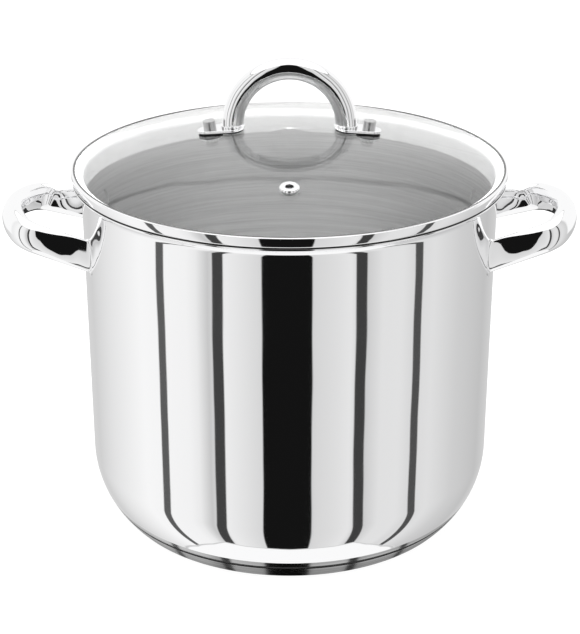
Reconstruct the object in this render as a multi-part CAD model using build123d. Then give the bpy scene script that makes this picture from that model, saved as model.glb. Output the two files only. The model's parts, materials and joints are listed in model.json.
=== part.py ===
from build123d import *

import os
from math import acos, asin, atan2, cos, degrees, radians, sin, sqrt, tan

# A 26 cm stainless stock pot with a vented glass lid. Millimetres, +Z up.
# The origin is the centre of the base's underside; the side handles lie along X.

# ---------------------------------------------------------------- driving dimensions

# Pot shell, deep drawn from one sheet.
WALL_R = 130.0              # outside radius of the straight wall
WALL_T = 0.8                # sheet thickness
CORNER_R = 60.0             # large outer corner radius, from the wall down to the base
CORNER_Z = 41.7             # height where that corner meets the straight wall
HEEL_R = 6.0                # small outer radius from the corner to the flat underside
FLOOR_UNDER_Z = 9.0         # underside of the shell's floor
BAND_TOP_Z = 17.9           # top of the turned band above the base seam
BAND_LOW_RISE = 0.4         # the band starts this far above the heel
BAND_DEPTH = 0.12           # how deep the band is turned into the corner
FLARE_Z = 218.0             # height where the mouth starts to flare
FLARE_R = 5.0               # outer radius of that flare
LIP_R = 135.4               # largest radius of the rolled lip
LIP_TOP_Z = 225.1           # top of the rolled lip
BEAD_R = 0.95               # radius of the lip's rolled bead

# Encapsulated base: an aluminium disc closed in by a steel cap.
CAP_T = 0.6                 # thickness of the steel cap
CAP_TOP_Z = 9.9             # cap's upper edge; the seam groove is just above it
CAP_EDGE_R = 2.5            # rounding between the cap's side and its flat face
DISH_R = 84.0               # radius of the shallow recess under the base
DISH_DEPTH = 0.5            # its depth
DISH_RAMP = 2.0             # width of the slope at the recess's edge

# Side handles: bent oval tube, welded to the wall.
LOOP_ROOT_X = 122.5         # where the loop's centreline starts, inside the wall
LOOP_ROOT_Z = 184.2         # its height there
LOOP_TILT = 17.0            # the loop's plane rises outwards by this angle, degrees
LOOP_ROOT_HALF = 43.6       # half the distance between the limbs at the root
LOOP_LENGTH = 54.2          # root to tip, along the loop's plane
LOOP_TIP_R = 58.0           # large centreline radius across the tip
LOOP_CORNER_R = 17.0        # centreline radius of the two bends beside the tip
LOOP_LIMB_TURN = 9.0        # how far each limb leans towards the middle, degrees
LOOP_RUN_IN = 12.0          # extra limb length behind the root, cut off again at the wall
LOOP_HALF_T = 6.5           # half thickness of the tube, in the loop's plane
LOOP_HALF_H = 9.4           # half height of the tube, square to that plane
LOOP_ROOT_HALF_T = 2.6      # the limbs are pressed flatter and taller towards the wall
LOOP_ROOT_HALF_H = 10.6
LOOP_ROOT_LIFT = 0.8        # and their middle rises by this much
TUBE_T = 1.2                # wall thickness of every handle tube
LUG_DEPTH = 6.0             # how far a weld lug reaches into a side handle's end

# Lid: domed glass in a rolled steel rim.
DOME_R = 406.0              # radius of the glass's upper surface
DOME_TOP_Z = 253.7          # its highest point
GLASS_T = 4.0
GLASS_EDGE_R = 134.9
RIM_R = 135.8               # outside radius of the steel rim
RIM_T = 0.6                 # its sheet thickness
RIM_LOW_Z = 225.4           # underside of the rim's flange, just clear of the pot's lip
RIM_FACE_R = 18.3           # the rim's outer face is a shallow arc of this radius
RIM_ROLL_R = 1.2            # roll from the flange's underside up to the face
RIM_ROLL_ANGLE = -8.0       # where the roll meets the face, degrees above level
RIM_TOP_ANGLE = 6.0         # where the face meets the top corner
RIM_TOP_R = 0.5             # radius of the top corner
RIM_TOP_SLOPE = 10.0        # the rim's top rises inwards by this angle
RIM_MOUTH_R = 133.3         # inner radius of the rim on top of the glass
RIM_MOUTH_ROUND = 0.3       # rounding of that inner edge
SKIRT_R = 127.9             # outside radius of the skirt that centres the lid
SKIRT_LOW_Z = 212.5
SKIRT_BEND_R = 1.6          # bend between the skirt and the flange

# Lid handle: bent oval tube on two foot plates.
ARCH_R = 34.95              # centreline radius of the arch
ARCH_CENTRE_Z = 256.0       # height of that arc's centre
ARCH_HALF_T = 6.7           # half thickness of the tube, in the arch's plane
ARCH_HALF_D = 7.3           # half depth of the tube, along Y
ARCH_LEG = 8.0              # straight length below the arc, cut off again at the foot
STUD_X = 49.0               # the two screws stand at this distance each side of the middle
PLATE_T = 1.5
PLATE_IN_X = 27.4           # inner and outer ends of a foot plate
PLATE_OUT_X = 57.0
PLATE_HALF_W = 9.8          # half width under the tube
PLATE_TIP_R = 6.6           # rounding of the outer end, round the screw
PLATE_EDGE_R = 0.5          # rounding of the plate's upper edge
SHOE_H = 1.5                # raised shoe on the plate, which the tube stands on
SHOE_MARGIN = 0.5           # how far the shoe stands out round the tube
SHOE_EDGE_R = 0.4           # rounding of the shoe's upper edge
SEAL_T = 0.8                # upper seal, between a foot plate and the glass
SEAL_INSET = 0.9            # the seal's outline lies this far inside the plate's
LOWER_SEAL_R = 7.5
LOWER_SEAL_T = 1.5
SLEEVE_R = 3.5              # the lower seal's sleeve, which lines the hole in the glass
SLEEVE_SINK = 0.05          # the sleeve ends this far below the glass's surface
WASHER_R = 7.0
WASHER_T = 0.8
SCREW_R = 2.5               # M5 screw
SCREW_HEAD_R = 4.6
SCREW_HEAD_T = 2.6
SCREW_HEAD_ROUND = 1.1
NUT_R = 4.0                 # cylindrical cap nut
NUT_H = 5.4
NUT_CROWN = 0.9             # rounding of its top edge
NUT_TOP_T = 1.6             # solid metal above the nut's blind thread
DRIVE_R = 1.6               # hexagon socket in the screw head
DRIVE_DEPTH = 1.6

# Steam vent: a rolled eyelet through the glass.
VENT_Y = -88.0
VENT_HOLE_R = 2.25
VENT_TUBE_R = 3.3
VENT_FLANGE_R = 6.0
VENT_FLANGE_H = 1.9
VENT_WASHER_R = 5.6
VENT_WASHER_T = 0.7
VENT_TAIL = 1.4             # how far the eyelet's tube stands out below the washer
VENT_GAP = 0.1              # space between the flange's flat underside and the curved glass

CUTTER_H = 80.0             # size of the shapes that cut holes and ends, longer than what they cut

# ------------------------------------------------------------------------ geometry aids


def step_from(point, radius, angle):
    """Point at a distance and an angle from another, in the (radius, height) plane."""
    return (point[0] + radius * cos(radians(angle)), point[1] + radius * sin(radians(angle)))


def spun(edges):
    """Solid of revolution about Z from a closed outline in the (radius, height) plane."""
    outline = Wire(edges)
    section = Face(outline)
    if section.normal_at().Z < 0:
        section = -section
    upright = section.rotate(Axis.X, 90)
    return revolve(upright, Axis.Z, 360)


def chain(*points):
    """Straight edges joining the points in order."""
    return [Line(a, b) for a, b in zip(points, points[1:])]


def dome_z(x, y=0.0, depth=0.0):
    """Height of the glass surface, or of one that lies deeper by depth."""
    return DOME_TOP_Z - DOME_R + sqrt((DOME_R - depth) ** 2 - x * x - y * y)


def ball(depth=0.0):
    """Sphere whose top is the glass surface, or one that lies deeper by depth."""
    return Pos(0, 0, DOME_TOP_Z - DOME_R) * Sphere(DOME_R - depth)


def oval(half_u, half_v):
    """Oval tube section as a sketch, half_u across X and half_v across Y."""
    return Ellipse(half_u, half_v) if half_u > half_v else Rot(0, 0, 90) * Ellipse(half_v, half_u)


def one_solid(shape):
    """The single solid that a boolean result holds."""
    solids = shape.solids()
    return max(solids, key=lambda s: s.volume)


def write(shape, name):
    """Store one sub-part as its own STEP file."""
    export_step(shape, f"parts/{name}.step")
    print(f"{name}: {len(shape.solids())} solid, {sum(s.volume for s in shape.solids()) / 1000:.2f} cm3")


# ------------------------------------------------------------------------------ pot

corner_c = (WALL_R - CORNER_R, CORNER_Z)


def heel(radius, low_z):
    """Centre of a small arc that touches the big corner inside and the level low_z.

    The angle of the point where the two arcs touch comes with it, in degrees.
    """
    z = low_z + radius
    across = sqrt((CORNER_R - radius) ** 2 - (CORNER_Z - z) ** 2)
    return (corner_c[0] + across, z), degrees(atan2(z - CORNER_Z, across))


def corner_radius(z, inset=0.0):
    """Radius of the big corner at a height, or of a surface inset from it."""
    return corner_c[0] + sqrt((CORNER_R - inset) ** 2 - (CORNER_Z - z) ** 2)


def corner_arc(z_from, z_to, inset=0.0):
    """Arc of the big corner between two heights."""
    z_mid = (z_from + z_to) / 2
    ends = [(corner_radius(z, inset), z) for z in (z_from, z_mid, z_to)]
    return ThreePointArc(*ends)


def lip_edges(inner_r):
    """Edges from the straight wall out over the flare, round the bead and back inside.

    A straight line touches the flare's arc and the bead from opposite sides.
    """
    bead_c = (LIP_R - BEAD_R, LIP_TOP_Z - BEAD_R)
    flare_c = (WALL_R + FLARE_R, FLARE_Z)
    across = (bead_c[0] - flare_c[0], bead_c[1] - flare_c[1])
    gap = sqrt(across[0] ** 2 + across[1] ** 2)
    turn = degrees(atan2(across[1], across[0]) + acos((FLARE_R + BEAD_R) / gap))
    mid_turn = (180 + turn) / 2
    inner_flare_r = FLARE_R + WALL_T
    out_low = step_from(flare_c, FLARE_R, turn)
    out_high = step_from(bead_c, -BEAD_R, turn)
    in_low = step_from(flare_c, inner_flare_r, turn)
    sunk = BEAD_R - WALL_T
    half_chord = sqrt(BEAD_R**2 - sunk**2)
    in_high = step_from(step_from(bead_c, -sunk, turn), -half_chord, turn - 90)
    return [
        ThreePointArc((WALL_R, FLARE_Z), step_from(flare_c, FLARE_R, mid_turn), out_low),
        Line(out_low, out_high),
        ThreePointArc(out_high, step_from(bead_c, BEAD_R, 45), in_high),
        Line(in_high, in_low),
        ThreePointArc(in_low, step_from(flare_c, inner_flare_r, mid_turn), (inner_r, FLARE_Z)),
    ]


def make_pot_shell():
    inner_r = WALL_R - WALL_T
    heel_c, heel_angle = heel(HEEL_R, FLOOR_UNDER_Z)
    mid_angle = (heel_angle - 90) / 2
    touch = step_from(corner_c, CORNER_R, heel_angle)
    inner_touch = step_from(corner_c, CORNER_R - WALL_T, heel_angle)
    inner_mid = step_from(corner_c, CORNER_R - WALL_T, heel_angle / 2)
    band_low_z = touch[1] + BAND_LOW_RISE
    band_high = (corner_radius(BAND_TOP_Z), BAND_TOP_Z)
    floor_z = FLOOR_UNDER_Z + WALL_T
    outline = [
        Line((0, FLOOR_UNDER_Z), (heel_c[0], FLOOR_UNDER_Z)),
        ThreePointArc((heel_c[0], FLOOR_UNDER_Z), step_from(heel_c, HEEL_R, mid_angle), touch),
        corner_arc(touch[1], band_low_z),
        Line((corner_radius(band_low_z), band_low_z), (corner_radius(band_low_z, BAND_DEPTH), band_low_z)),
        corner_arc(band_low_z, BAND_TOP_Z, BAND_DEPTH),
        Line((corner_radius(BAND_TOP_Z, BAND_DEPTH), BAND_TOP_Z), band_high),
        corner_arc(BAND_TOP_Z, CORNER_Z),
        Line((WALL_R, CORNER_Z), (WALL_R, FLARE_Z)),
        *lip_edges(inner_r),
        Line((inner_r, FLARE_Z), (inner_r, CORNER_Z)),
        ThreePointArc((inner_r, CORNER_Z), inner_mid, inner_touch),
        ThreePointArc(inner_touch, step_from(heel_c, HEEL_R - WALL_T, mid_angle), (heel_c[0], floor_z)),
        *chain((heel_c[0], floor_z), (0, floor_z), (0, FLOOR_UNDER_Z)),
    ]
    return spun(outline)


def base_outline(inset, top_z, dish):
    """Outline of the encapsulated base inside the cap's outer surface, by an inset."""
    edge_c, edge_angle = heel(CAP_EDGE_R, 0.0)
    touch = step_from(corner_c, CORNER_R - inset, edge_angle)
    mid = step_from(edge_c, CAP_EDGE_R - inset, (edge_angle - 90) / 2)
    slope_in = (DISH_R - DISH_RAMP, dish + inset)
    return [
        *chain((0, dish + inset), slope_in, (DISH_R, inset), (edge_c[0], inset)),
        ThreePointArc((edge_c[0], inset), mid, touch),
        corner_arc(touch[1], top_z, inset),
    ]


def make_base_cap():
    outer = base_outline(0.0, CAP_TOP_Z, DISH_DEPTH)
    inner = base_outline(CAP_T, CAP_TOP_Z, DISH_DEPTH)
    top_out = (corner_radius(CAP_TOP_Z), CAP_TOP_Z)
    top_in = (corner_radius(CAP_TOP_Z, CAP_T), CAP_TOP_Z)
    axis_ends = Line((0, DISH_DEPTH), (0, DISH_DEPTH + CAP_T))
    return spun([*outer, Line(top_out, top_in), *inner, axis_ends])


def make_base_core():
    side = base_outline(CAP_T, FLOOR_UNDER_Z, DISH_DEPTH)
    top = chain(
        (corner_radius(FLOOR_UNDER_Z, CAP_T), FLOOR_UNDER_Z),
        (0, FLOOR_UNDER_Z),
        (0, DISH_DEPTH + CAP_T),
    )
    return spun([*side, *top])


# ---------------------------------------------------------------------- side handles


def loop_pieces(inset):
    """Straight and bent lengths of one side handle, in the loop's own plane.

    The plane's X runs from the root to the tip and its Y across the limbs. The surface
    lies inside the tube's outer one by the inset.
    """
    lean = LOOP_LIMB_TURN
    tip_c = LOOP_LENGTH - LOOP_TIP_R
    # The bend beside the tip touches the tip's arc inside, and the leaning limb.
    reach = LOOP_TIP_R - LOOP_CORNER_R
    limb = (cos(radians(lean)), -sin(radians(lean)))
    side = (sin(radians(lean)), cos(radians(lean)))
    # The bend's centre is LOOP_CORNER_R inside the limb's line: solve for its place.
    base = (-side[0] * LOOP_CORNER_R - tip_c, LOOP_ROOT_HALF - side[1] * LOOP_CORNER_R)
    dot = base[0] * limb[0] + base[1] * limb[1]
    run = -dot + sqrt(dot * dot - (base[0] ** 2 + base[1] ** 2 - reach**2))
    bend_c = (base[0] + limb[0] * run + tip_c, base[1] + limb[1] * run)
    swing = degrees(atan2(bend_c[1], bend_c[0] - tip_c))
    section = oval(LOOP_HALF_T - inset, LOOP_HALF_H - inset)
    root_section = oval(LOOP_ROOT_HALF_T - inset, LOOP_ROOT_HALF_H - inset)
    pieces = []
    # Tip: the section stands across the loop's plane and is spun about the tip's centre.
    tip = Rot(90, 0, 0) * Pos(LOOP_TIP_R, 0, 0) * section
    tip = revolve(tip, Axis.Z, 2 * swing)
    pieces.append(Pos(tip_c, 0, 0) * Rot(0, 0, -swing) * tip)
    for mirror in (1, -1):
        bend = Rot(90, 0, 0) * Pos(LOOP_CORNER_R, 0, 0) * section
        bend = revolve(bend, Axis.Z, 90 - lean - swing)
        bend = Pos(*bend_c, 0) * Rot(0, 0, swing) * bend
        limb_end = (side[0] * LOOP_CORNER_R + bend_c[0], side[1] * LOOP_CORNER_R + bend_c[1])
        plane = Plane(origin=(*limb_end, 0), x_dir=(*side, 0), z_dir=(-limb[0], -limb[1], 0))
        root = Pos(0, 0, LOOP_ROOT_LIFT) * plane.offset(run + LOOP_RUN_IN)
        straight = loft([plane * section, root * root_section])
        for piece in (bend, straight):
            pieces.append(piece if mirror > 0 else piece.mirror(Plane.XZ))
    return pieces


def loop_solid(inset, sign):
    """One side handle's tube as a filled solid, at its place on the pot."""
    pieces = loop_pieces(inset)
    whole = pieces[0]
    for piece in pieces[1:]:
        whole = whole + piece
    placed = Pos(LOOP_ROOT_X, 0, LOOP_ROOT_Z) * Rot(0, -LOOP_TILT, 0) * whole
    return placed if sign > 0 else Rot(0, 0, 180) * placed


def wall_cylinder(radius):
    """Cylinder about the pot's axis, tall enough to pass a whole handle."""
    return Pos(0, 0, LOOP_ROOT_Z) * Cylinder(radius, CUTTER_H)


def make_side_handle(sign):
    """The hollow tube and its two weld lugs, front one first."""
    outer = loop_solid(0.0, sign)
    inner = loop_solid(TUBE_T, sign)
    wall = wall_cylinder(WALL_R)
    tube = one_solid((outer - inner) - wall)
    plugs = (inner & wall_cylinder(WALL_R + LUG_DEPTH)) - wall
    lugs = sorted(plugs.solids(), key=lambda s: s.center().Y)
    return tube, lugs[0], lugs[-1]


# ------------------------------------------------------------------------------ lid


def foot_frame(sign):
    """Frame on the glass at a screw, with Z square to the glass."""
    lean = degrees(asin(STUD_X / DOME_R))
    return Pos(sign * STUD_X, 0, dome_z(STUD_X)) * Rot(0, sign * lean, 0)


def half_turn(sign):
    """Turns the left foot round so that its outward direction is the same as the right one's."""
    return Rot(0, 0, 0 if sign > 0 else 180)


# Along the foot's own frame, with the screw at its origin and outwards positive.
plate_in = PLATE_IN_X - STUD_X
plate_out = PLATE_OUT_X - STUD_X
tube_at = ARCH_R - STUD_X


def plate_outline(shrink=0.0):
    """Foot plate seen from above: an oval pad under the tube, running out to a round tip."""
    pad = Pos(tube_at, 0, 0) * oval(tube_at - plate_in - shrink, PLATE_HALF_W - shrink)
    tip = Pos(plate_out - PLATE_TIP_R, 0, 0) * Circle(PLATE_TIP_R - shrink)
    return make_hull([*pad.edges(), *tip.edges()])


def make_foot_plate(sign):
    """Flat plate with a raised shoe under the tube and a hole for the screw."""
    plate = extrude(plate_outline(), PLATE_T)
    plate = fillet(plate.edges().group_by(Axis.Z)[-1], PLATE_EDGE_R)
    shoe = oval(ARCH_HALF_T + SHOE_MARGIN, ARCH_HALF_D + SHOE_MARGIN)
    shoe = Pos(tube_at, 0, 0) * extrude(shoe, PLATE_T + SHOE_H)
    shoe = fillet(shoe.edges().group_by(Axis.Z)[-1], SHOE_EDGE_R)
    plate = one_solid(plate + shoe - Cylinder(SCREW_R, CUTTER_H))
    return foot_frame(sign) * half_turn(sign) * Pos(0, 0, SEAL_T) * plate


def make_upper_seal(sign):
    """Silicone pad that fills the space between the flat plate and the domed glass."""
    pad = Pos(0, 0, -GLASS_T) * extrude(plate_outline(SEAL_INSET), GLASS_T + SEAL_T)
    pad = pad - Cylinder(SCREW_R, CUTTER_H)
    return one_solid(foot_frame(sign) * half_turn(sign) * pad - ball())


def make_lower_seal(sign):
    """Silicone collar below the glass, with a sleeve that lines the hole."""
    frame = foot_frame(sign)
    flange_low = -GLASS_T - LOWER_SEAL_T
    flange = Pos(0, 0, flange_low) * extrude(Circle(LOWER_SEAL_R), LOWER_SEAL_T + GLASS_T)
    flange = frame * flange & ball(GLASS_T)
    sleeve = Pos(0, 0, flange_low) * extrude(Circle(SLEEVE_R), LOWER_SEAL_T + GLASS_T)
    sleeve = frame * sleeve & ball(SLEEVE_SINK)
    bore = frame * Cylinder(SCREW_R, CUTTER_H)
    return one_solid((flange + sleeve) - bore)


def make_washer(sign):
    low = -GLASS_T - LOWER_SEAL_T - WASHER_T
    ring = extrude(Circle(WASHER_R) - Circle(SCREW_R), WASHER_T)
    return foot_frame(sign) * Pos(0, 0, low) * ring


def make_screw(sign):
    frame = foot_frame(sign)
    seat = -GLASS_T - LOWER_SEAL_T - WASHER_T
    shank_top = SEAL_T + PLATE_T + NUT_H - NUT_TOP_T
    shank = Pos(0, 0, seat) * extrude(Circle(SCREW_R), shank_top - seat)
    head = Pos(0, 0, seat - SCREW_HEAD_T) * extrude(Circle(SCREW_HEAD_R), SCREW_HEAD_T)
    head = fillet(head.edges().filter_by(GeomType.CIRCLE).sort_by(Axis.Z)[0], SCREW_HEAD_ROUND)
    socket = Pos(0, 0, seat - SCREW_HEAD_T) * extrude(RegularPolygon(DRIVE_R, 6), DRIVE_DEPTH)
    return frame * one_solid(head + shank - socket)


def make_cap_nut(sign):
    frame = foot_frame(sign)
    low = SEAL_T + PLATE_T
    body = Pos(0, 0, low) * extrude(Circle(NUT_R), NUT_H)
    body = fillet(body.edges().filter_by(GeomType.CIRCLE).sort_by(Axis.Z)[-1], NUT_CROWN)
    bore = Pos(0, 0, low) * extrude(Circle(SCREW_R), NUT_H - NUT_TOP_T)
    return frame * one_solid(body - bore)


def vent_frame():
    """Frame on the glass at the vent, with Z square to the glass."""
    lean = degrees(asin(-VENT_Y / DOME_R))
    return Pos(0, VENT_Y, dome_z(0, VENT_Y)) * Rot(lean, 0, 0)


def make_vent_eyelet():
    """Rolled eyelet: a round flange on the glass, a tube through it and a flared tail."""
    low = -GLASS_T - VENT_WASHER_T - VENT_TAIL
    flange_edge = (VENT_FLANGE_R, VENT_GAP)
    top_r = (VENT_FLANGE_R + VENT_HOLE_R) / 2
    outer = Spline(flange_edge, (top_r, VENT_FLANGE_H), tangents=((0, 1), (-1, 0)))
    mouth = (VENT_HOLE_R, VENT_FLANGE_H / 2)
    inner = Spline((top_r, VENT_FLANGE_H), mouth, tangents=((-1, 0), (0, -1)))
    outline = [
        *chain((VENT_HOLE_R, low), (VENT_TUBE_R, low), (VENT_TUBE_R, VENT_GAP), flange_edge),
        outer,
        inner,
        Line(mouth, (VENT_HOLE_R, low)),
    ]
    return vent_frame() * spun(outline)


def make_vent_washer():
    """Flat washer, as far below the curved glass as its own edge needs."""
    ring = extrude(Circle(VENT_WASHER_R) - Circle(VENT_TUBE_R), VENT_WASHER_T)
    sag = VENT_WASHER_R**2 / (2 * DOME_R)
    return vent_frame() * Pos(0, 0, -GLASS_T - VENT_WASHER_T - sag) * ring


def make_lid_glass():
    disc = Cylinder(GLASS_EDGE_R, CUTTER_H, align=(Align.CENTER, Align.CENTER, Align.MIN))
    disc = Pos(0, 0, RIM_LOW_Z) * disc
    glass = (disc & ball()) - ball(GLASS_T)
    for sign in (1, -1):
        glass = glass - foot_frame(sign) * Cylinder(SLEEVE_R, CUTTER_H)
    glass = glass - vent_frame() * Cylinder(VENT_TUBE_R, CUTTER_H)
    return one_solid(glass)


def dome_arc(r_from, r_to, depth=0.0):
    """Arc along the glass surface, or a deeper one, between two radii."""
    ends = [(r, dome_z(r, 0, depth)) for r in (r_from, (r_from + r_to) / 2, r_to)]
    return ThreePointArc(*ends)


def make_lid_rim():
    """Rolled steel rim: a channel round the glass's edge and a skirt inside the mouth."""
    skirt_in = SKIRT_R - RIM_T
    # The face's arc runs on into the roll below it and the small corner above it.
    roll_z = RIM_LOW_Z + RIM_ROLL_R
    face_z = roll_z - (RIM_FACE_R - RIM_ROLL_R) * sin(radians(RIM_ROLL_ANGLE))
    face_c = (RIM_R - RIM_FACE_R, face_z)
    roll_c = step_from(face_c, RIM_FACE_R - RIM_ROLL_R, RIM_ROLL_ANGLE)
    top_c = step_from(face_c, RIM_FACE_R - RIM_TOP_R, RIM_TOP_ANGLE)
    roll_low = (roll_c[0], RIM_LOW_Z)
    face_low = step_from(face_c, RIM_FACE_R, RIM_ROLL_ANGLE)
    face_high = step_from(face_c, RIM_FACE_R, RIM_TOP_ANGLE)
    top_out = step_from(top_c, RIM_TOP_R, 90 - RIM_TOP_SLOPE)
    top_in_r = RIM_MOUTH_R + RIM_MOUTH_ROUND
    top_in = (top_in_r, top_out[1] + (top_out[0] - top_in_r) * tan(radians(RIM_TOP_SLOPE)))
    mouth_z = top_in[1] - RIM_MOUTH_ROUND
    bend_c = (SKIRT_R + SKIRT_BEND_R, RIM_LOW_Z - SKIRT_BEND_R)
    outline = [
        *chain((skirt_in, SKIRT_LOW_Z), (SKIRT_R, SKIRT_LOW_Z), (SKIRT_R, bend_c[1])),
        ThreePointArc((SKIRT_R, bend_c[1]), step_from(bend_c, SKIRT_BEND_R, 135), (bend_c[0], RIM_LOW_Z)),
        Line((bend_c[0], RIM_LOW_Z), roll_low),
        ThreePointArc(roll_low, step_from(roll_c, RIM_ROLL_R, (RIM_ROLL_ANGLE - 90) / 2), face_low),
        ThreePointArc(face_low, (RIM_R, face_z), face_high),
        ThreePointArc(face_high, step_from(top_c, RIM_TOP_R, 45), top_out),
        Line(top_out, top_in),
        ThreePointArc(top_in, step_from((top_in_r, mouth_z), RIM_MOUTH_ROUND, 135), (RIM_MOUTH_R, mouth_z)),
        Line((RIM_MOUTH_R, mouth_z), (RIM_MOUTH_R, dome_z(RIM_MOUTH_R))),
        dome_arc(RIM_MOUTH_R, GLASS_EDGE_R),
        Line((GLASS_EDGE_R, dome_z(GLASS_EDGE_R)), (GLASS_EDGE_R, dome_z(GLASS_EDGE_R, 0, GLASS_T))),
        dome_arc(GLASS_EDGE_R, skirt_in, GLASS_T),
        Line((skirt_in, dome_z(skirt_in, 0, GLASS_T)), (skirt_in, SKIRT_LOW_Z)),
    ]
    return spun(outline)


def arch_solid(half_t, half_d):
    """The lid handle's tube as a filled solid: a half ring on two short straight legs."""
    section = oval(half_t, half_d)
    ring = revolve(Pos(ARCH_R, 0, 0) * section, Axis.Y, 180)
    ring = ring if ring.bounding_box().max.Z > ARCH_R / 2 else Rot(180, 0, 0) * ring
    whole = ring
    for sign in (1, -1):
        whole = whole + Pos(sign * ARCH_R, 0, -ARCH_LEG) * extrude(section, ARCH_LEG)
    return Pos(0, 0, ARCH_CENTRE_Z) * whole


def make_lid_handle():
    """Bent tube whose legs end on the upper faces of the shoes."""
    tube = arch_solid(ARCH_HALF_T, ARCH_HALF_D) - arch_solid(ARCH_HALF_T - TUBE_T, ARCH_HALF_D - TUBE_T)
    shoe_top = SEAL_T + PLATE_T + SHOE_H
    below = Pos(0, 0, shoe_top - CUTTER_H) * extrude(Rectangle(CUTTER_H, CUTTER_H), CUTTER_H)
    for sign in (1, -1):
        tube = tube - foot_frame(sign) * below
    return one_solid(tube)


# ------------------------------------------------------------------------------ output


def main():
    os.makedirs("parts", exist_ok=True)
    write(make_pot_shell(), "pot_shell")
    write(make_base_core(), "base_core_disc")
    write(make_base_cap(), "base_cap")
    for side, sign in (("left", -1), ("right", 1)):
        tube, front, rear = make_side_handle(sign)
        write(tube, f"{side}_handle_tube")
        write(front, f"{side}_handle_front_lug")
        write(rear, f"{side}_handle_rear_lug")
    write(make_lid_glass(), "lid_glass")
    write(make_lid_rim(), "lid_rim")
    write(make_lid_handle(), "lid_handle_tube")
    for side, sign in (("left", -1), ("right", 1)):
        write(make_foot_plate(sign), f"lid_handle_{side}_foot")
        write(make_upper_seal(sign), f"{side}_upper_seal")
        write(make_lower_seal(sign), f"{side}_lower_seal")
        write(make_washer(sign), f"{side}_washer")
        write(make_screw(sign), f"{side}_screw")
        write(make_cap_nut(sign), f"{side}_cap_nut")
    write(make_vent_eyelet(), "vent_eyelet")
    write(make_vent_washer(), "vent_washer")


main()
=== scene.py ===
import json
from math import acos, asin, atan2, ceil, cos, degrees, dist, hypot, pi, radians, sin, sqrt, tan

import bmesh
import bpy
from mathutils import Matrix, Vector


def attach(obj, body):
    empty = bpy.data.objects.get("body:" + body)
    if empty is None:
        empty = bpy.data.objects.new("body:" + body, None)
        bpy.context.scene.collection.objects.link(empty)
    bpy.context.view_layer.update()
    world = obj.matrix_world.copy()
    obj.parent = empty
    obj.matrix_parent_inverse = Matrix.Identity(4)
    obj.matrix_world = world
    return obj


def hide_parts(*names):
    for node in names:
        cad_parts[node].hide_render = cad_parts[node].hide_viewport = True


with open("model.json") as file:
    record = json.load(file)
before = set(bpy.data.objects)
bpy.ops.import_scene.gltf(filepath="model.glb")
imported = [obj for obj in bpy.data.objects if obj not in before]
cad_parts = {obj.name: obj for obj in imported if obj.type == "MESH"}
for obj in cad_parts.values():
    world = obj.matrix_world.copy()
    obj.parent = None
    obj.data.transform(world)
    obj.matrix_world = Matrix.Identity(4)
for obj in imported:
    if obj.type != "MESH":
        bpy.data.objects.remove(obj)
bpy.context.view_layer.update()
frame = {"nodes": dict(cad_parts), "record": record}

MM = 0.001                  # the sizes below are in millimetres, the scene is in metres
SAME_POINT = 1e-6           # points nearer than this are one point
SHARP_FROM = 35.0           # edges that turn by more than this are shaded sharp, degrees
AROUND_LATHE = 192          # points round a turned piece
AROUND_TUBE = 96            # points round a tube's section

# ------------------------------------------------------------------ shader building


class Shader:
    """A material or world node tree with short calls for the nodes it needs."""

    def __init__(self, tree):
        self.tree = tree
        self.tree.nodes.clear()

    def node(self, kind, links=None, **values):
        made = self.tree.nodes.new(kind)
        for key, value in values.items():
            setattr(made, key, value)
        for socket, source in (links or {}).items():
            if isinstance(source, bpy.types.NodeSocket):
                self.tree.links.new(source, made.inputs[socket])
            else:
                made.inputs[socket].default_value = source
        return made

    def math(self, operation, a, b=0.0, c=0.0, clamp=False):
        made = self.node("ShaderNodeMath", {0: a, 1: b, 2: c}, operation=operation, use_clamp=clamp)
        return made.outputs[0]

    def mix(self, share, a, b):
        """The number a where share is 0, b where it is 1."""
        return self.node("ShaderNodeMix", {0: share, 2: a, 3: b}, data_type="FLOAT").outputs[0]

    def ramp(self, value, stops):
        """Grey levels along a colour ramp: stops are (place, level)."""
        made = self.node("ShaderNodeValToRGB", {0: value})
        elements = made.color_ramp.elements
        while len(elements) < len(stops):
            elements.new(0.5)
        for element, (place, level) in zip(elements, stops):
            element.position = place
            element.color = (level, level, level, 1)
        return made.outputs[0]

    def above(self, value, low, soft):
        """Rises from zero to one as the value passes low, over the width soft."""
        return self.math("MULTIPLY_ADD", self.math("SUBTRACT", value, low), 1 / soft, 0.5, clamp=True)

    def between(self, value, low, high, soft):
        """One between low and high, falling to zero over soft at each side."""
        under = self.math("SUBTRACT", 1.0, self.above(value, high, soft))
        return self.math("MULTIPLY", self.above(value, low, soft), under)

    def noise(self, vector, scale, detail=2.0, roughness=0.5):
        links = {"Vector": vector, "Scale": scale, "Detail": detail, "Roughness": roughness}
        return self.node("ShaderNodeTexNoise", links).outputs[0]

    def bump(self, height, strength, distance, normal=None):
        links = {"Height": height, "Strength": strength, "Distance": distance}
        if normal is not None:
            links["Normal"] = normal
        return self.node("ShaderNodeBump", links).outputs[0]


def new_material(name):
    material = bpy.data.materials.new(name)
    material.use_nodes = True
    return material, Shader(material.node_tree)


def finish_material(shader, surface):
    shader.node("ShaderNodeOutputMaterial", {"Surface": surface.outputs[0]})


# ------------------------------------------------------------------------ materials


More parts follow.
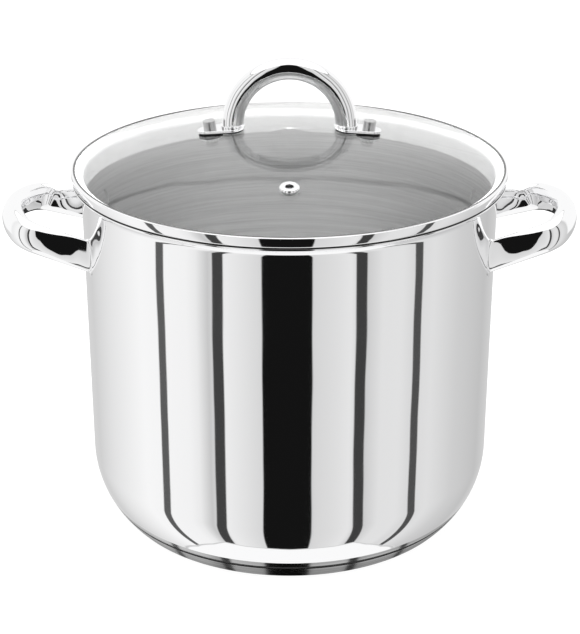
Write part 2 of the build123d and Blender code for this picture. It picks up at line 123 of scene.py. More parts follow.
def mirror_steel(name, wave, wave_scale):
    """Polished steel: faint smudges in its gloss and a slow wave left by the polishing wheel."""
    material, s = new_material(name)
    place = s.node("ShaderNodeTexCoord").outputs["Object"]
    smudge = s.noise(place, 22.0, 4.0, 0.6)
    fine = s.noise(place, 900.0, 3.0, 0.7)
    rough = s.math("MULTIPLY_ADD", smudge, 0.05, 0.0)
    rough = s.math("MULTIPLY_ADD", fine, 0.02, rough)
    ripple = s.noise(place, wave_scale, 1.0, 0.4)
    surface = s.node("ShaderNodeBsdfPrincipled", {
        "Base Color": (0.955, 0.955, 0.96, 1),
        "Metallic": 1.0,
        "Roughness": rough,
        "Normal": s.bump(ripple, 1.0, wave),
    })
    finish_material(s, surface)
    return material


def brushed_steel(name, level, contrast, rough, pitch, depth):
    """Steel brushed or turned in circles about Z; pitch is the lines' spacing in metres.

    The streaks are noise that runs slowly round the axis and quickly across it, on walls
    and floors alike, in a fine and a coarse layer.
    """
    material, s = new_material(name)
    parts = s.node("ShaderNodeSeparateXYZ", {0: s.node("ShaderNodeTexCoord").outputs["Object"]}).outputs
    square = s.math("MULTIPLY_ADD", parts[0], parts[0], s.math("MULTIPLY", parts[1], parts[1]))
    across = s.math("ADD", s.math("SQRT", square), parts[2])

    def streaks(spacing, along):
        lines = s.node("ShaderNodeCombineXYZ", {
            0: s.math("MULTIPLY", parts[0], along),
            1: s.math("MULTIPLY", parts[1], along),
            2: s.math("MULTIPLY", across, 1 / spacing),
        }).outputs[0]
        return s.noise(lines, 1.0, 4.0, 0.65)

    fine = streaks(pitch, 14.0)
    coarse = streaks(pitch * 4, 7.0)
    streak = s.mix(0.45, fine, coarse)
    tone = s.ramp(streak, [(0.35, level * (1 - contrast)), (0.65, level * (1 + contrast))])
    surface = s.node("ShaderNodeBsdfPrincipled", {
        "Base Color": tone,
        "Metallic": 1.0,
        "Roughness": s.math("MULTIPLY_ADD", streak, 0.1, rough - 0.05),
        "Anisotropic": 0.75,
        "Anisotropic Rotation": 0.25,
        "Tangent": s.node("ShaderNodeTangent", direction_type="RADIAL", axis="Z").outputs[0],
        "Normal": s.bump(fine, 1.0, depth),
    })
    finish_material(s, surface)
    return material


def satin_steel(name, level, rough, metallic):
    """Blasted steel that scatters light evenly, with a fine grain."""
    material, s = new_material(name)
    place = s.node("ShaderNodeTexCoord").outputs["Object"]
    grain = s.noise(place, 1400.0, 3.0, 0.6)
    cloud = s.noise(place, 60.0, 3.0, 0.5)
    surface = s.node("ShaderNodeBsdfPrincipled", {
        "Base Color": s.ramp(cloud, [(0.3, level * 0.9), (0.7, min(1.0, level * 1.06))]),
        "Metallic": metallic,
        "Roughness": s.math("MULTIPLY_ADD", grain, 0.1, rough - 0.05),
        "Normal": s.bump(grain, 0.3, 0.00003),
    })
    finish_material(s, surface)
    return material


def clear_glass(name):
    material, s = new_material(name)
    place = s.node("ShaderNodeTexCoord").outputs["Object"]
    film = s.noise(place, 14.0, 3.0, 0.5)
    surface = s.node("ShaderNodeBsdfPrincipled", {
        "Base Color": (0.985, 0.99, 0.988, 1),
        "Roughness": s.math("MULTIPLY", film, 0.01),
        "IOR": 1.5,
        "Transmission Weight": 1.0,
        "Normal": s.bump(film, 0.04, 0.002),
    })
    finish_material(s, surface)
    return material


def silicone(name):
    material, s = new_material(name)
    place = s.node("ShaderNodeTexCoord").outputs["Object"]
    mottle = s.noise(place, 260.0, 3.0, 0.6)
    surface = s.node("ShaderNodeBsdfPrincipled", {
        "Base Color": s.ramp(mottle, [(0.3, 0.018), (0.7, 0.03)]),
        "Roughness": s.math("MULTIPLY_ADD", mottle, 0.2, 0.4),
        "IOR": 1.41,
        "Normal": s.bump(mottle, 0.1, 0.0003),
    })
    finish_material(s, surface)
    return material


POLISHED = mirror_steel("polished_steel", 0.0002, 16.0)
BENT_TUBE = mirror_steel("polished_bent_tube", 0.0007, 60.0)
BRUSHED = brushed_steel("brushed_steel_inside", 0.86, 0.17, 0.34, 0.0010, 0.00002)
TURNED = brushed_steel("turned_steel", 0.52, 0.25, 0.12, 0.0009, 0.000004)
# A darker copy of the turned steel for the base cap: painted shade, darker towards the bottom.
TURNED_CAP_PAINTED_SHADE = brushed_steel("turned_cap_steel_painted_shade", 0.36, 0.3, 0.15, 0.0009, 0.000004)
# Near-black steel: the strip at the joint between the pot and its base cap, and the cap's rounded bottom
# edge, where it is painted shade at the floor.
JOINT_AND_PAINTED_EDGE_SHADE = brushed_steel("dark_joint_and_painted_edge_shade", 0.035, 0.3, 0.45, 0.0005, 0.00002)
SATIN = satin_steel("satin_steel_seat", 1.0, 0.5, 0.3)
# Near-black steel on the bead's top, the rim's flange and the rim's mouth: painted shade of the gaps
# between lip, rim and glass.
PAINTED_GAP_SHADE = satin_steel("painted_gap_shade_steel", 0.10, 0.4, 0.65)
NUT = brushed_steel("turned_nut_steel", 0.62, 0.10, 0.30, 0.0006, 0.00001)
GLASS = clear_glass("tempered_glass")
SILICONE = silicone("black_silicone")
ALUMINIUM = brushed_steel("rolled_aluminium", 0.7, 0.1, 0.45, 0.0015, 0.00002)

SLOT_MATERIAL = {
    "polished_steel": POLISHED,
    "satin_steel": BRUSHED,
    "turned_steel": TURNED,
    "base_core": ALUMINIUM,
    "tempered_glass": GLASS,
    "silicone": SILICONE,
}


def dress_cad_nodes():
    """Give every CAD node the material of its slot in the record, and the nuts their own."""
    for part in frame["record"]["subparts"]:
        node = frame["nodes"][part["node"]]
        finish = NUT if part["node"].endswith("_cap_nut") else SLOT_MATERIAL[part["material_slot"]]
        node.data.materials.clear()
        node.data.materials.append(finish)


# --------------------------------------------------------------------- mesh building


def point_at(centre, radius, angle):
    """Point at a distance and an angle from another in the (radius, height) plane, in degrees."""
    return (centre[0] + radius * cos(radians(angle)), centre[1] + radius * sin(radians(angle)))


def arc(centre, radius, start, stop, step=3.0):
    """Points of an arc in the (radius, height) plane, both ends among them."""
    count = ceil(abs(stop - start) / step)
    return [point_at(centre, radius, start + (stop - start) * i / count) for i in range(count + 1)]


def run(start, stop, step=20.0):
    """Points of a straight stretch in the (radius, height) plane, both ends among them."""
    count = ceil(dist(start, stop) / step)
    return [tuple(a + (b - a) * i / count for a, b in zip(start, stop)) for i in range(count + 1)]


def new_piece(name, mesh, body, slot, *nodes):
    """Smooth-shaded piece that rides on a body and stands for CAD nodes."""
    mesh.shade_smooth()
    mesh.set_sharp_from_angle(angle=radians(SHARP_FROM))
    piece = bpy.data.objects.new(name, mesh)
    bpy.context.scene.collection.objects.link(piece)
    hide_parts(*nodes)
    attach(piece, body)
    return piece


def lathe(name, zones):
    """Closed surface of revolution about Z, as a mesh.

    Each zone is a material and its stretch of the outline, as (radius, height) points. The
    outline runs anticlockwise, outside upwards, and either closes or ends on the axis.
    """
    mesh = bpy.data.meshes.new(name)
    outline, materials = [], []
    for material, points in zones:
        if material.name not in mesh.materials:
            mesh.materials.append(material)
        for point in points:
            if outline and dist(outline[-1], point) < SAME_POINT:
                continue
            if outline:
                materials.append(mesh.materials.find(material.name))
            outline.append(point)
    closes = dist(outline[0], outline[-1]) < SAME_POINT
    if closes:
        outline.pop()
    vertices, rings = [], []
    for radius, z in outline:
        count = AROUND_LATHE if radius > SAME_POINT else 1
        rings.append([len(vertices) + k for k in range(count)] * (AROUND_LATHE // count))
        turns = [2 * pi * k / AROUND_LATHE for k in range(count)]
        vertices += [(radius * cos(t) * MM, radius * sin(t) * MM, z * MM) for t in turns]
    if closes:
        rings.append(rings[0])
    faces = []
    for low, high in zip(rings, rings[1:]):
        for k in range(AROUND_LATHE):
            after = (k + 1) % AROUND_LATHE
            corners = dict.fromkeys((low[k], low[after], high[after], high[k]))
            faces.append(tuple(corners))
    mesh.from_pydata(vertices, [], faces)
    for index, face in enumerate(mesh.polygons):
        face.material_index = materials[index // AROUND_LATHE]
    return mesh


def skin(name, rings, material):
    """Mesh through rings with equal numbers of points, closed at both ends."""
    count = len(rings[0])
    vertices = [tuple(c * MM for c in point) for ring in rings for point in ring]
    faces = [tuple(range(count)), tuple(range(len(vertices) - count, len(vertices)))]
    for start in range(0, len(vertices) - count, count):
        for k in range(count):
            after = (k + 1) % count
            faces.append((start + k, start + after, start + count + after, start + count + k))
    mesh = bpy.data.meshes.new(name)
    mesh.from_pydata(vertices, [], faces)
    shape = bmesh.new()
    shape.from_mesh(mesh)
    bmesh.ops.recalc_face_normals(shape, faces=shape.faces)
    shape.to_mesh(mesh)
    shape.free()
    mesh.materials.append(material)
    return mesh


# ------------------------------------------------------------------------------ pot

WALL_R = 130.0              # outside radius of the straight wall
WALL_T = 0.8
CORNER_R = 60.0             # large outer corner radius
CORNER_Z = 41.7             # height where it meets the straight wall
HEEL_R = 6.0                # small outer radius down to the flat underside
FLOOR_UNDER_Z = 9.0
BAND_TOP_Z = 16.1           # top of the turned band
BAND_LOW_Z = 10.7
FLARE_Z = 218.0             # height where the mouth starts to flare
FLARE_R = 5.0
LIP_R = 135.4               # largest radius of the rolled lip
LIP_TOP_Z = 225.1
BEAD_R = 0.95
BEAD_SHADE_FROM = 33.0             # the bead's top above this angle is near-black steel: painted shade under the lid's rim
CAP_T = 0.6
CAP_TOP_Z = 9.3
CAP_EDGE_R = 2.5
DISH_R = 84.0
DISH_DEPTH = 0.5
DISH_RAMP = 2.0
GROOVE_PITCH = 0.62         # spacing of the lathe tool's grooves on the base's side

corner_c = (WALL_R - CORNER_R, CORNER_Z)


def corner_angle(z, inset=0.0):
    """Angle on the big corner's arc at a height, in degrees."""
    return degrees(asin((z - CORNER_Z) / (CORNER_R - inset)))


def heel(radius, z_low):
    """Centre of a small arc that touches the big corner inside and the level z_low, and its angle."""
    z = z_low + radius
    centre = (corner_c[0] + sqrt((CORNER_R - radius) ** 2 - (z - CORNER_Z) ** 2), z)
    return centre, degrees(atan2(z - CORNER_Z, centre[0] - corner_c[0]))


def turned_steps(z_low, z_high):
    """Tool grooves down the big corner: short upright faces with ledges between them."""
    count = round((z_high - z_low) / GROOVE_PITCH)
    heights = [z_low + (z_high - z_low) * i / count for i in range(count + 1)]
    points = []
    for low, high in zip(heights, heights[1:]):
        radius = point_at(corner_c, CORNER_R, corner_angle(low))[0]
        points += [(radius, low), (radius, high)]
    return points


def pot_mesh():
    heel_c, heel_angle = heel(HEEL_R, FLOOR_UNDER_Z)
    floor_z = FLOOR_UNDER_Z + WALL_T
    inner_r = WALL_R - WALL_T
    bead_c = (LIP_R - BEAD_R, LIP_TOP_Z - BEAD_R)
    flare_c = (WALL_R + FLARE_R, FLARE_Z)
    across = (bead_c[0] - flare_c[0], bead_c[1] - flare_c[1])
    turn = degrees(atan2(across[1], across[0]) + acos((FLARE_R + BEAD_R) / hypot(*across)))
    # The bead runs from where the flare's line touches it, over the top, to the sheet's inner face.
    bead_start = turn - 180
    bead_stop = bead_start + 360 - degrees(acos((BEAD_R - WALL_T) / BEAD_R))
    outside = [
        *run((0, FLOOR_UNDER_Z), (heel_c[0], FLOOR_UNDER_Z)),
        *arc(heel_c, HEEL_R, -90, heel_angle, 6),
        *arc(corner_c, CORNER_R, heel_angle, corner_angle(BAND_LOW_Z)),
    ]
    band = turned_steps(BAND_LOW_Z, BAND_TOP_Z)
    wall = [
        *arc(corner_c, CORNER_R, corner_angle(BAND_TOP_Z), 0, 2),
        *run((WALL_R, CORNER_Z), (WALL_R, FLARE_Z)),
        *arc(flare_c, FLARE_R, 180, turn, 4),
        *arc(bead_c, BEAD_R, bead_start, BEAD_SHADE_FROM, 6),
    ]
    # The bead's top is near-black steel: painted shade of the gap under the lid's rim.
    bead_shade = arc(bead_c, BEAD_R, BEAD_SHADE_FROM, bead_stop, 8)
    inside = [
        *arc(flare_c, FLARE_R + WALL_T, turn, 180, 4),
        *run((inner_r, FLARE_Z), (inner_r, CORNER_Z)),
        *arc(corner_c, CORNER_R - WALL_T, 0, heel_angle, 3),
        *arc(heel_c, HEEL_R - WALL_T, heel_angle, -90, 6),
        *run((heel_c[0], floor_z), (0, floor_z)),
    ]
    zones = [(JOINT_AND_PAINTED_EDGE_SHADE, outside), (TURNED, band), (POLISHED, wall), (PAINTED_GAP_SHADE, bead_shade), (BRUSHED, inside)]
    return lathe("pot_body", zones)


def cap_layer(inset):
    """The cap's flat face and its rounded edge, both from the middle outwards."""
    edge_c, edge_angle = heel(CAP_EDGE_R, 0.0)
    slope_in = (DISH_R - DISH_RAMP, DISH_DEPTH + inset)
    flat = [
        *run((0, DISH_DEPTH + inset), slope_in),
        *run((DISH_R, inset), (edge_c[0], inset), 10),
    ]
    return flat, arc(edge_c, CAP_EDGE_R - inset, -90, edge_angle, 8)


def cap_mesh():
    flat, edge = cap_layer(0.0)
    steps = turned_steps(edge[-1][1], CAP_TOP_Z)
    flat_in, edge_in = cap_layer(CAP_T)
    rim_in = point_at(corner_c, CORNER_R - CAP_T, corner_angle(CAP_TOP_Z, CAP_T))
    inner = [rim_in, *reversed(edge_in), *reversed(flat_in)]
    # The cap's rounded bottom edge is near-black: painted shade where it meets the floor.
    # The cap's turned band is darker than the pot's band above it: painted shade towards the floor.
    zones = [(TURNED, flat), (JOINT_AND_PAINTED_EDGE_SHADE, edge), (TURNED_CAP_PAINTED_SHADE, steps), (TURNED_CAP_PAINTED_SHADE, inner)]
    return lathe("base_cap_body", zones)


# ---------------------------------------------------------------------- side handles

LOOP_ROOT_X = 122.5         # where the loop's centreline starts, inside the wall
LOOP_ROOT_Z = 184.2
LOOP_TILT = 17.0            # the loop's plane rises outwards by this angle, degrees
LOOP_ROOT_HALF = 43.6       # half the distance between the limbs at the root
LOOP_LENGTH = 54.2          # root to tip, along the loop's plane
LOOP_TIP_R = 58.0           # centreline radius across the tip
LOOP_CORNER_R = 17.0        # centreline radius of the bends beside the tip
LOOP_LIMB_TURN = 9.0        # how far each limb leans towards the middle, degrees
LOOP_RUN_IN = 12.0
LOOP_HALF = (6.5, 9.4)      # half thickness and half height of the tube
LOOP_ROOT_SIZE = (5.0, 10.2)    # the same at the root, before the limb is pressed flat
LOOP_ROOT_LIFT = 0.8        # the root's middle lies this far above the loop's plane
WELD_R = 2.4                # hollow fillet of the weld at the wall
WALL_MEET_R = 129.7         # the tube's end lies inside the wall's sheet
LIMB_STEPS = 20
BEND_STEPS = 14             # steps along each bend, and along half of the tip
WELD_TURNS = (15, 30, 45, 60, 75, 90)   # steps round the weld's fillet, degrees
NECK = 0.5                  # share of the thickness pressed away on the way to the wall
NECK_SPAN = (0.08, 0.78)    # where that starts and is complete, as shares of the limb
NECK_TILT = 0.2             # the top is pressed by so much more, and the bottom by so much less


def oval_ring(centre, side, half):
    """Oval section in the loop's plane coordinates: side is the in-plane direction across it."""
    ring = []
    for k in range(AROUND_TUBE):
        turn = 2 * pi * k / AROUND_TUBE
        reach = half[0] * cos(turn)
        rise = half[1] * sin(turn)
        ring.append((centre[0] + side[0] * reach, centre[1] + side[1] * reach, centre[2] + rise))
    return ring


def loop_place(point, sign):
    """From the loop's plane to the pot: u runs outwards, v across the limbs, w off the plane."""
    u, v, w = point
    tilt = radians(LOOP_TILT)
    x = LOOP_ROOT_X + u * cos(tilt) - w * sin(tilt)
    z = LOOP_ROOT_Z + u * sin(tilt) + w * cos(tilt)
    return (sign * x, sign * v, z)


def pinch(share, turn):
    """Share of the tube's thickness pressed away at a place along the limb and round its section."""
    late = min(1.0, max(0.0, (share - NECK_SPAN[0]) / (NECK_SPAN[1] - NECK_SPAN[0])))
    return NECK * late * late * (3 - 2 * late) * (1 - NECK_TILT + NECK_TILT * sin(turn))


def limb_rings(bend_ring, root_ring, middle, across):
    """Rings from the bend to the wall and up the weld's fillet.

    The points run along straight lines from the bend's last ring to the root's, up to where
    those meet the wall, and are then pressed towards the limb's middle plane, square to across.
    """
    lines = []
    for start, stop in zip(bend_ring, root_ring):
        way = Vector(stop) - Vector(start)
        square = way.x**2 + way.y**2
        half = start[0] * way.x + start[1] * way.y
        short = start[0] ** 2 + start[1] ** 2 - WALL_MEET_R**2
        meet = (-half - sqrt(half * half - square * short)) / square
        outward = (Vector(start) - middle).normalized()
        lines.append((Vector(start), way.normalized(), meet * way.length, outward))

    def pressed(ring, share):
        centre = sum(ring, Vector()) / AROUND_TUBE
        turns = [2 * pi * k / AROUND_TUBE for k in range(AROUND_TUBE)]
        return [p - across * (p - centre).dot(across) * pinch(share, turn) for p, turn in zip(ring, turns)]

    rings = []
    for i in range(1, LIMB_STEPS + 1):
        share = i / LIMB_STEPS
        ring = [start + way * (reach - WELD_R) * share for start, way, reach, outward in lines]
        rings.append(pressed(ring, share))
    for turn in WELD_TURNS:
        back = WELD_R * (1 - sin(radians(turn)))
        out = WELD_R * (1 - cos(radians(turn)))
        ring = [start + way * (reach - back) + outward * out for start, way, reach, outward in lines]
        rings.append(pressed(ring, 1.0))
    return rings


def handle_mesh(name, sign):
    """Tube of one side handle: a wide arc across the tip, two bends and two straight limbs."""
    lean = LOOP_LIMB_TURN
    tip_c = (LOOP_LENGTH - LOOP_TIP_R, 0.0)
    reach = LOOP_TIP_R - LOOP_CORNER_R
    limb = (cos(radians(lean)), -sin(radians(lean)))
    side = (sin(radians(lean)), cos(radians(lean)))
    base = (-side[0] * LOOP_CORNER_R - tip_c[0], LOOP_ROOT_HALF - side[1] * LOOP_CORNER_R)
    dot = base[0] * limb[0] + base[1] * limb[1]
    length = -dot + sqrt(dot * dot - (base[0] ** 2 + base[1] ** 2 - reach**2))
    bend_c = (base[0] + limb[0] * length + tip_c[0], base[1] + limb[1] * length)
    swing = degrees(atan2(bend_c[1], bend_c[0] - tip_c[0]))

    def ring_at(centre, radius, angle):
        way = (cos(radians(angle)), sin(radians(angle)))
        return oval_ring((*point_at(centre, radius, angle), 0.0), way, LOOP_HALF)

    bend_turns = [swing + (90 - lean - swing) * i / BEND_STEPS for i in range(BEND_STEPS + 1)]
    upper = [ring_at(bend_c, LOOP_CORNER_R, angle) for angle in bend_turns]
    root_run = length + LOOP_RUN_IN
    limb_end = point_at(bend_c, LOOP_CORNER_R, 90 - lean)
    root_c = (limb_end[0] - limb[0] * root_run, limb_end[1] - limb[1] * root_run, LOOP_ROOT_LIFT)
    root = [loop_place(point, 1) for point in oval_ring(root_c, side, LOOP_ROOT_SIZE)]
    middle = Vector(loop_place((*limb_end, 0.0), 1))
    tip_turns = [swing * i / BEND_STEPS for i in range(BEND_STEPS)]
    half = [ring_at(tip_c, LOOP_TIP_R, angle) for angle in tip_turns] + upper
    half = [[loop_place(point, 1) for point in ring] for ring in half]
    across = Vector(loop_place((*side, 0.0), 1)) - Vector(loop_place((0.0, 0.0, 0.0), 1))
    half += limb_rings(half[-1], root, middle, across)
    mirrored = [[(x, -y, z) for x, y, z in ring] for ring in reversed(half[1:])]
    rings = [[(sign * x, sign * y, z) for x, y, z in ring] for ring in mirrored + half]
    return skin(name, rings, BENT_TUBE)


# ------------------------------------------------------------------------------ lid

DOME_R = 406.0              # radius of the glass's upper surface
DOME_TOP_Z = 253.7
GLASS_T = 4.0
GLASS_EDGE_R = 134.9
RIM_R = 135.8               # outside radius of the steel rim
RIM_T = 0.6
RIM_LOW_Z = 225.4
RIM_FACE_R = 18.3           # the rim's outer face is a shallow arc of this radius
RIM_ROLL_R = 1.2            # roll below the face
RIM_ROLL_ANGLE = -8.0
RIM_TOP_ANGLE = 6.0
RIM_TOP_R = 0.5
RIM_TOP_SLOPE = 10.0
RIM_MOUTH_R = 133.3
RIM_MOUTH_ROUND = 0.3
MOUTH_LINE = 0.9            # width of the near-black line along the mouth: painted shade where the rim meets the glass
SKIRT_R = 127.9
SKIRT_LOW_Z = 212.5
SKIRT_BEND_R = 1.6
ROLL_BRIGHT_FROM = -45.0    # the roll is polished above this angle and near-black below it: painted shade of the gap at the lip
SEAT_BEND_FROM = 131.5      # radius where the glass's seat starts to bend down into the skirt
SEAT_BEND_R = 4.2
ARCH_R = 34.95              # centreline radius of the lid's handle
ARCH_CENTRE_Z = 256.0
ARCH_HALF = (6.7, 7.3)      # half thickness and half depth of its tube
STUD_X = 49.0
SHOE_TOP = 3.8              # height of the shoe's top over the glass, square to it
LEG_SINK = 0.1              # the tube's end lies this far inside the shoe
ARCH_STEP = 3               # degrees from ring to ring along the arch
DOME_STEPS = 4              # steps along a stretch of the glass


def dome_z(radius, depth=0.0):
    """Height of the glass surface, or of one that lies deeper by depth."""
    return DOME_TOP_Z - DOME_R + sqrt((DOME_R - depth) ** 2 - radius**2)


def along_dome(r_from, r_to, depth=0.0):
    radii = [r_from + (r_to - r_from) * i / DOME_STEPS for i in range(DOME_STEPS + 1)]
    return [(r, dome_z(r, depth)) for r in radii]


def rim_mesh():
    """Steel rim: a channel round the glass's edge, and the skirt that centres the lid."""
    skirt_in = SKIRT_R - RIM_T
    roll_z = RIM_LOW_Z + RIM_ROLL_R
    face_z = roll_z - (RIM_FACE_R - RIM_ROLL_R) * sin(radians(RIM_ROLL_ANGLE))
    face_c = (RIM_R - RIM_FACE_R, face_z)
    roll_c = point_at(face_c, RIM_FACE_R - RIM_ROLL_R, RIM_ROLL_ANGLE)
    top_c = point_at(face_c, RIM_FACE_R - RIM_TOP_R, RIM_TOP_ANGLE)
    top_out = point_at(top_c, RIM_TOP_R, 90 - RIM_TOP_SLOPE)
    top_in_r = RIM_MOUTH_R + RIM_MOUTH_ROUND
    top_in_z = top_out[1] + (top_out[0] - top_in_r) * tan(radians(RIM_TOP_SLOPE))
    line_out = (top_in_r + MOUTH_LINE, top_in_z - MOUTH_LINE * tan(radians(RIM_TOP_SLOPE)))
    mouth_c = (top_in_r, top_in_z - RIM_MOUTH_ROUND)
    bend_c = (SKIRT_R + SKIRT_BEND_R, RIM_LOW_Z - SKIRT_BEND_R)
    skirt = [
        *run((skirt_in, SKIRT_LOW_Z), (SKIRT_R, SKIRT_LOW_Z)),
        *run((SKIRT_R, SKIRT_LOW_Z), (SKIRT_R, bend_c[1])),
        *arc(bend_c, SKIRT_BEND_R, 180, 90, 10),
    ]
    flange = [
        *run((bend_c[0], RIM_LOW_Z), (roll_c[0], RIM_LOW_Z)),
        *arc(roll_c, RIM_ROLL_R, -90, ROLL_BRIGHT_FROM, 5),
    ]
    face = [
        *arc(roll_c, RIM_ROLL_R, ROLL_BRIGHT_FROM, RIM_ROLL_ANGLE, 5),
        *arc(face_c, RIM_FACE_R, RIM_ROLL_ANGLE, RIM_TOP_ANGLE, 1),
        *arc(top_c, RIM_TOP_R, RIM_TOP_ANGLE, 90 - RIM_TOP_SLOPE, 6),
        *run(top_out, line_out),
    ]
    mouth = [
        *run(line_out, (top_in_r, top_in_z)),
        *arc(mouth_c, RIM_MOUTH_ROUND, 90 - RIM_TOP_SLOPE, 180, 15),
        *run((RIM_MOUTH_R, mouth_c[1]), (RIM_MOUTH_R, dome_z(RIM_MOUTH_R))),
    ]
    seat_c = (SEAT_BEND_FROM, dome_z(SEAT_BEND_FROM, GLASS_T) - SEAT_BEND_R)
    channel = [
        *along_dome(RIM_MOUTH_R, GLASS_EDGE_R),
        *along_dome(GLASS_EDGE_R, SEAT_BEND_FROM, GLASS_T),
        *arc(seat_c, SEAT_BEND_R, 90, 180, 9),
        *run((skirt_in, seat_c[1]), (skirt_in, SKIRT_LOW_Z)),
    ]
    # The flange under the rim and the mouth are near-black steel: painted shade of the gaps at the pot's
    # lip and at the glass.
    zones = [
        (POLISHED, skirt), (PAINTED_GAP_SHADE, flange), (POLISHED, face), (PAINTED_GAP_SHADE, mouth), (SATIN, channel),
    ]
    return lathe("lid_rim_body", zones)


def arch_mesh():
    """Tube of the lid's handle: half a ring, with legs that end in the shoes."""
    rings = []
    for angle in range(0, 180 + ARCH_STEP, ARCH_STEP):
        turn = radians(angle)
        ring = []
        for k in range(AROUND_TUBE):
            around = 2 * pi * k / AROUND_TUBE
            radius = ARCH_R + ARCH_HALF[0] * cos(around)
            y = ARCH_HALF[1] * sin(around)
            ring.append((radius * cos(turn), y, ARCH_CENTRE_Z + radius * sin(turn)))
        rings.append(ring)
    lean = asin(STUD_X / DOME_R)
    rise = SHOE_TOP - LEG_SINK
    ends = []
    for ring, sign in ((rings[0], 1), (rings[-1], -1)):
        foot = (sign * (STUD_X + rise * sin(lean)), dome_z(STUD_X) + rise * cos(lean))
        ends.append([(x, y, foot[1] - sign * tan(lean) * (x - foot[0])) for x, y, _ in ring])
    return skin("lid_arch", [ends[0], *rings, ends[1]], BENT_TUBE)


# ------------------------------------------------------------------ studio and camera

# Light tent, by direction from the pot: azimuth from the front (-Y) towards +X, in degrees.
TENT = [
    (-180, 0.70), (-145, 0.65), (-121, 0.80), (-108, 0.87), (-90, 0.97), (-58, 0.93),
    (-52, 0.86), (-45, 0.59), (-36, 0.88), (-26, 0.80), (-14, 0.69), (13, 0.69),
    (26, 0.76), (34, 0.82), (41, 0.60), (52, 0.78), (64, 0.79), (71, 0.72), (86, 0.77),
    (96, 0.71), (108, 0.64), (139, 0.55), (150, 0.60), (180, 0.70),
]
# Dark gaps between the tent's cards: azimuth of each side and brightness.
GAPS = [
    (-15.0, 12.4, 0.007),
    (-42.4, -36.3, 0.055),
    (36.4, 42.6, 0.05),
    (-77.4, -72.2, 0.11),
    (72.0, 77.3, 0.08),
]
# Elevation of the cards' lower edges by azimuth, the same to the left and right.
CARD_ENDS = [(0, -56.5), (33, -54.0), (46, -51.0), (60, -55.6), (87, -60.0), (180, -60.0)]
CARD_LOW, CARD_SPAN = -60.0, 10.0
CARD_LINE = 0.6             # brightness of the thin line along those edges
SPREAD_FROM = -30.0         # the gaps lean outwards below this elevation
SPREAD_PER_DEGREE = 0.1 / 30
# Elevation of the overhead softbox's edge by azimuth, the same to the left and right.
SOFTBOX_FROM = [(0, 58.0), (40, 50.0), (110, 42.0), (156, 34.0), (164, 36.5), (168, 39.0), (180, 41.0)]
SOFTBOX_LEVEL = 1.2
SOFTBOX_LINE = 0.25         # brightness of the thin shadow along that edge
BACKDROP = (110.0, -16.0)   # behind this azimuth and above this elevation all is white
BACK_GAP = (9.0, -56.0, -16.0, 0.03)    # half width, lowest and highest elevation, brightness
CARD_SOFT = 0.6             # how softly each edge of the tent fades, degrees
GAP_SOFT = 0.7
SOFTBOX_SOFT = 0.8
BACK_SOFT = 2.0
LAMP_WIDTH = 2.4            # overhead lamp, metres
LAMP_HEIGHT = 2.2
LAMP_WATTS = 145
CAMERA_RISE = 23.58         # elevation of the camera over the pot, degrees
CAMERA_DISTANCE = 1.05265   # metres
CAMERA_TARGET = (0.0003, 0.0, 0.12541)
CAMERA_LENS = 91.749        # millimetres, on a sensor 36 mm along the picture's longer side


def studio_world():
    """Light tent round the pot; the camera itself sees plain white."""
    world = bpy.data.worlds.new("light_tent")
    bpy.context.scene.world = world
    world.use_nodes = True
    s = Shader(world.node_tree)
    way = s.node("ShaderNodeTexCoord").outputs["Generated"]
    parts = s.node("ShaderNodeSeparateXYZ", {0: way}).outputs
    back = s.math("MULTIPLY", parts[1], -1.0)
    azimuth = s.math("DEGREES", s.math("ARCTAN2", parts[0], back))
    elevation = s.math("DEGREES", s.math("ARCSINE", parts[2]))
    aside = s.math("MULTIPLY", s.math("ABSOLUTE", azimuth), 1 / 180)
    along = s.math("MULTIPLY_ADD", azimuth, 1 / 360, 0.5)
    level = s.ramp(along, [((a + 180) / 360, level) for a, level in TENT])
    low = s.ramp(aside, [(a / 180, (e - CARD_LOW) / CARD_SPAN) for a, e in CARD_ENDS])
    card_end = s.math("MULTIPLY_ADD", low, CARD_SPAN, CARD_LOW)
    hung = s.above(elevation, card_end, CARD_SOFT)
    line_end = s.math("SUBTRACT", card_end, 1.0)
    line = s.between(elevation, line_end, card_end, CARD_SOFT)
    level = s.mix(line, s.mix(hung, 1.0, level), CARD_LINE)
    spread = s.math("MAXIMUM", s.math("SUBTRACT", SPREAD_FROM, elevation), 0.0)
    spread = s.math("MULTIPLY_ADD", spread, SPREAD_PER_DEGREE, 1.0)
    straight = s.math("DIVIDE", azimuth, spread)
    for left, right, dark in GAPS:
        inside = s.math("MULTIPLY", s.between(straight, left, right, GAP_SOFT), hung)
        level = s.mix(inside, level, dark)
    far = s.above(s.math("ABSOLUTE", azimuth), BACKDROP[0], 10.0)
    level = s.mix(s.math("MULTIPLY", far, s.above(elevation, BACKDROP[1], BACK_SOFT)), level, 1.0)
    half, bottom, top, dark = BACK_GAP
    behind = s.above(s.math("ABSOLUTE", azimuth), 180 - half, SOFTBOX_SOFT)
    inside = s.math("MULTIPLY", behind, s.between(elevation, bottom, top, BACK_SOFT))
    level = s.mix(inside, level, dark)
    edge = s.ramp(aside, [(a / 180, e / 90) for a, e in SOFTBOX_FROM])
    edge = s.math("MULTIPLY", edge, 90.0)
    level = s.mix(s.above(elevation, edge, SOFTBOX_SOFT), level, SOFTBOX_LEVEL)
    shadow = s.between(elevation, s.math("SUBTRACT", edge, 0.9), edge, CARD_SOFT)
    level = s.mix(shadow, level, SOFTBOX_LINE)
    seen = s.node("ShaderNodeLightPath").outputs["Is Camera Ray"]
    sky = s.node("ShaderNodeBackground", {"Color": s.mix(seen, level, 1.0), "Strength": 1.0})
    s.node("ShaderNodeOutputWorld", {"Surface": sky.outputs[0]})


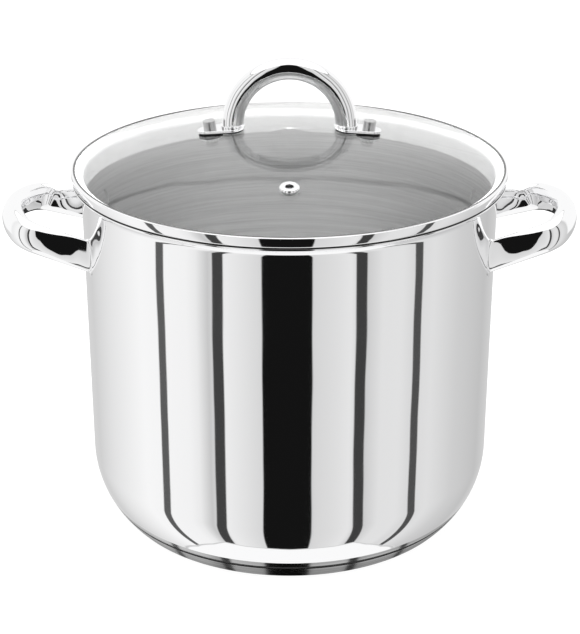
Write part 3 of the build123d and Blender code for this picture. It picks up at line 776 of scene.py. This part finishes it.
def studio_floor():
    """White sweep under the pot, which glows so much that no shadow shows on it."""
    size = 6.0
    mesh = bpy.data.meshes.new("studio_floor")
    corners = [(-size, -size, 0), (size, -size, 0), (size, size, 0), (-size, size, 0)]
    mesh.from_pydata(corners, [], [(0, 1, 2, 3)])
    floor = bpy.data.objects.new("studio_floor", mesh)
    bpy.context.scene.collection.objects.link(floor)
    material, s = new_material("pale_floor")
    place = s.node("ShaderNodeTexCoord").outputs["Object"]
    grain = s.noise(place, 40.0, 3.0)
    surface = s.node("ShaderNodeBsdfPrincipled", {
        "Base Color": s.ramp(grain, [(0.3, 0.10), (0.7, 0.12)]),
        "Roughness": 0.9,
        "Specular IOR Level": 0.0,
        "Emission Color": (1, 1, 1, 1),
        "Emission Strength": 0.97,
    })
    finish_material(s, surface)
    mesh.materials.append(material)
    floor.visible_glossy = False


def camera():
    rise = radians(CAMERA_RISE)
    data = bpy.data.cameras.new("camera")
    data.sensor_width = 36.0
    data.lens = CAMERA_LENS
    data.clip_start = 0.01
    eye = bpy.data.objects.new("camera", data)
    bpy.context.scene.collection.objects.link(eye)
    eye.location = Vector(CAMERA_TARGET) + CAMERA_DISTANCE * Vector((0, -cos(rise), sin(rise)))
    eye.rotation_euler = (pi / 2 - rise, 0, 0)
    bpy.context.scene.camera = eye


def soft_light():
    """Overhead lamp that lights the matt surfaces; mirrors and glass show the tent instead."""
    data = bpy.data.lights.new("overhead_softbox", "AREA")
    data.shape = "DISK"
    data.size = LAMP_WIDTH
    data.energy = LAMP_WATTS
    lamp = bpy.data.objects.new("overhead_softbox", data)
    bpy.context.scene.collection.objects.link(lamp)
    lamp.location = (0, 0, LAMP_HEIGHT)
    lamp.visible_glossy = False
    lamp.visible_transmission = False
    lamp.visible_camera = False


dress_cad_nodes()
new_piece("pot_body", pot_mesh(), "pot", "polished_steel", "pot_shell")
new_piece("base_cap_body", cap_mesh(), "pot", "turned_steel", "base_cap")
for side_name, side_sign in (("left", -1), ("right", 1)):
    loop_name = f"{side_name}_handle_loop"
    loop_mesh = handle_mesh(loop_name, side_sign)
    new_piece(loop_name, loop_mesh, "pot", "polished_steel", f"{side_name}_handle_tube")
new_piece("lid_rim_body", rim_mesh(), "lid", "polished_steel", "lid_rim")
new_piece("lid_arch", arch_mesh(), "lid", "polished_steel", "lid_handle_tube")
frame["nodes"]["lid_glass"].visible_shadow = False      # light passes through it to the inside
studio_world()
studio_floor()
soft_light()
camera()
bpy.context.scene.view_settings.view_transform = "Standard"
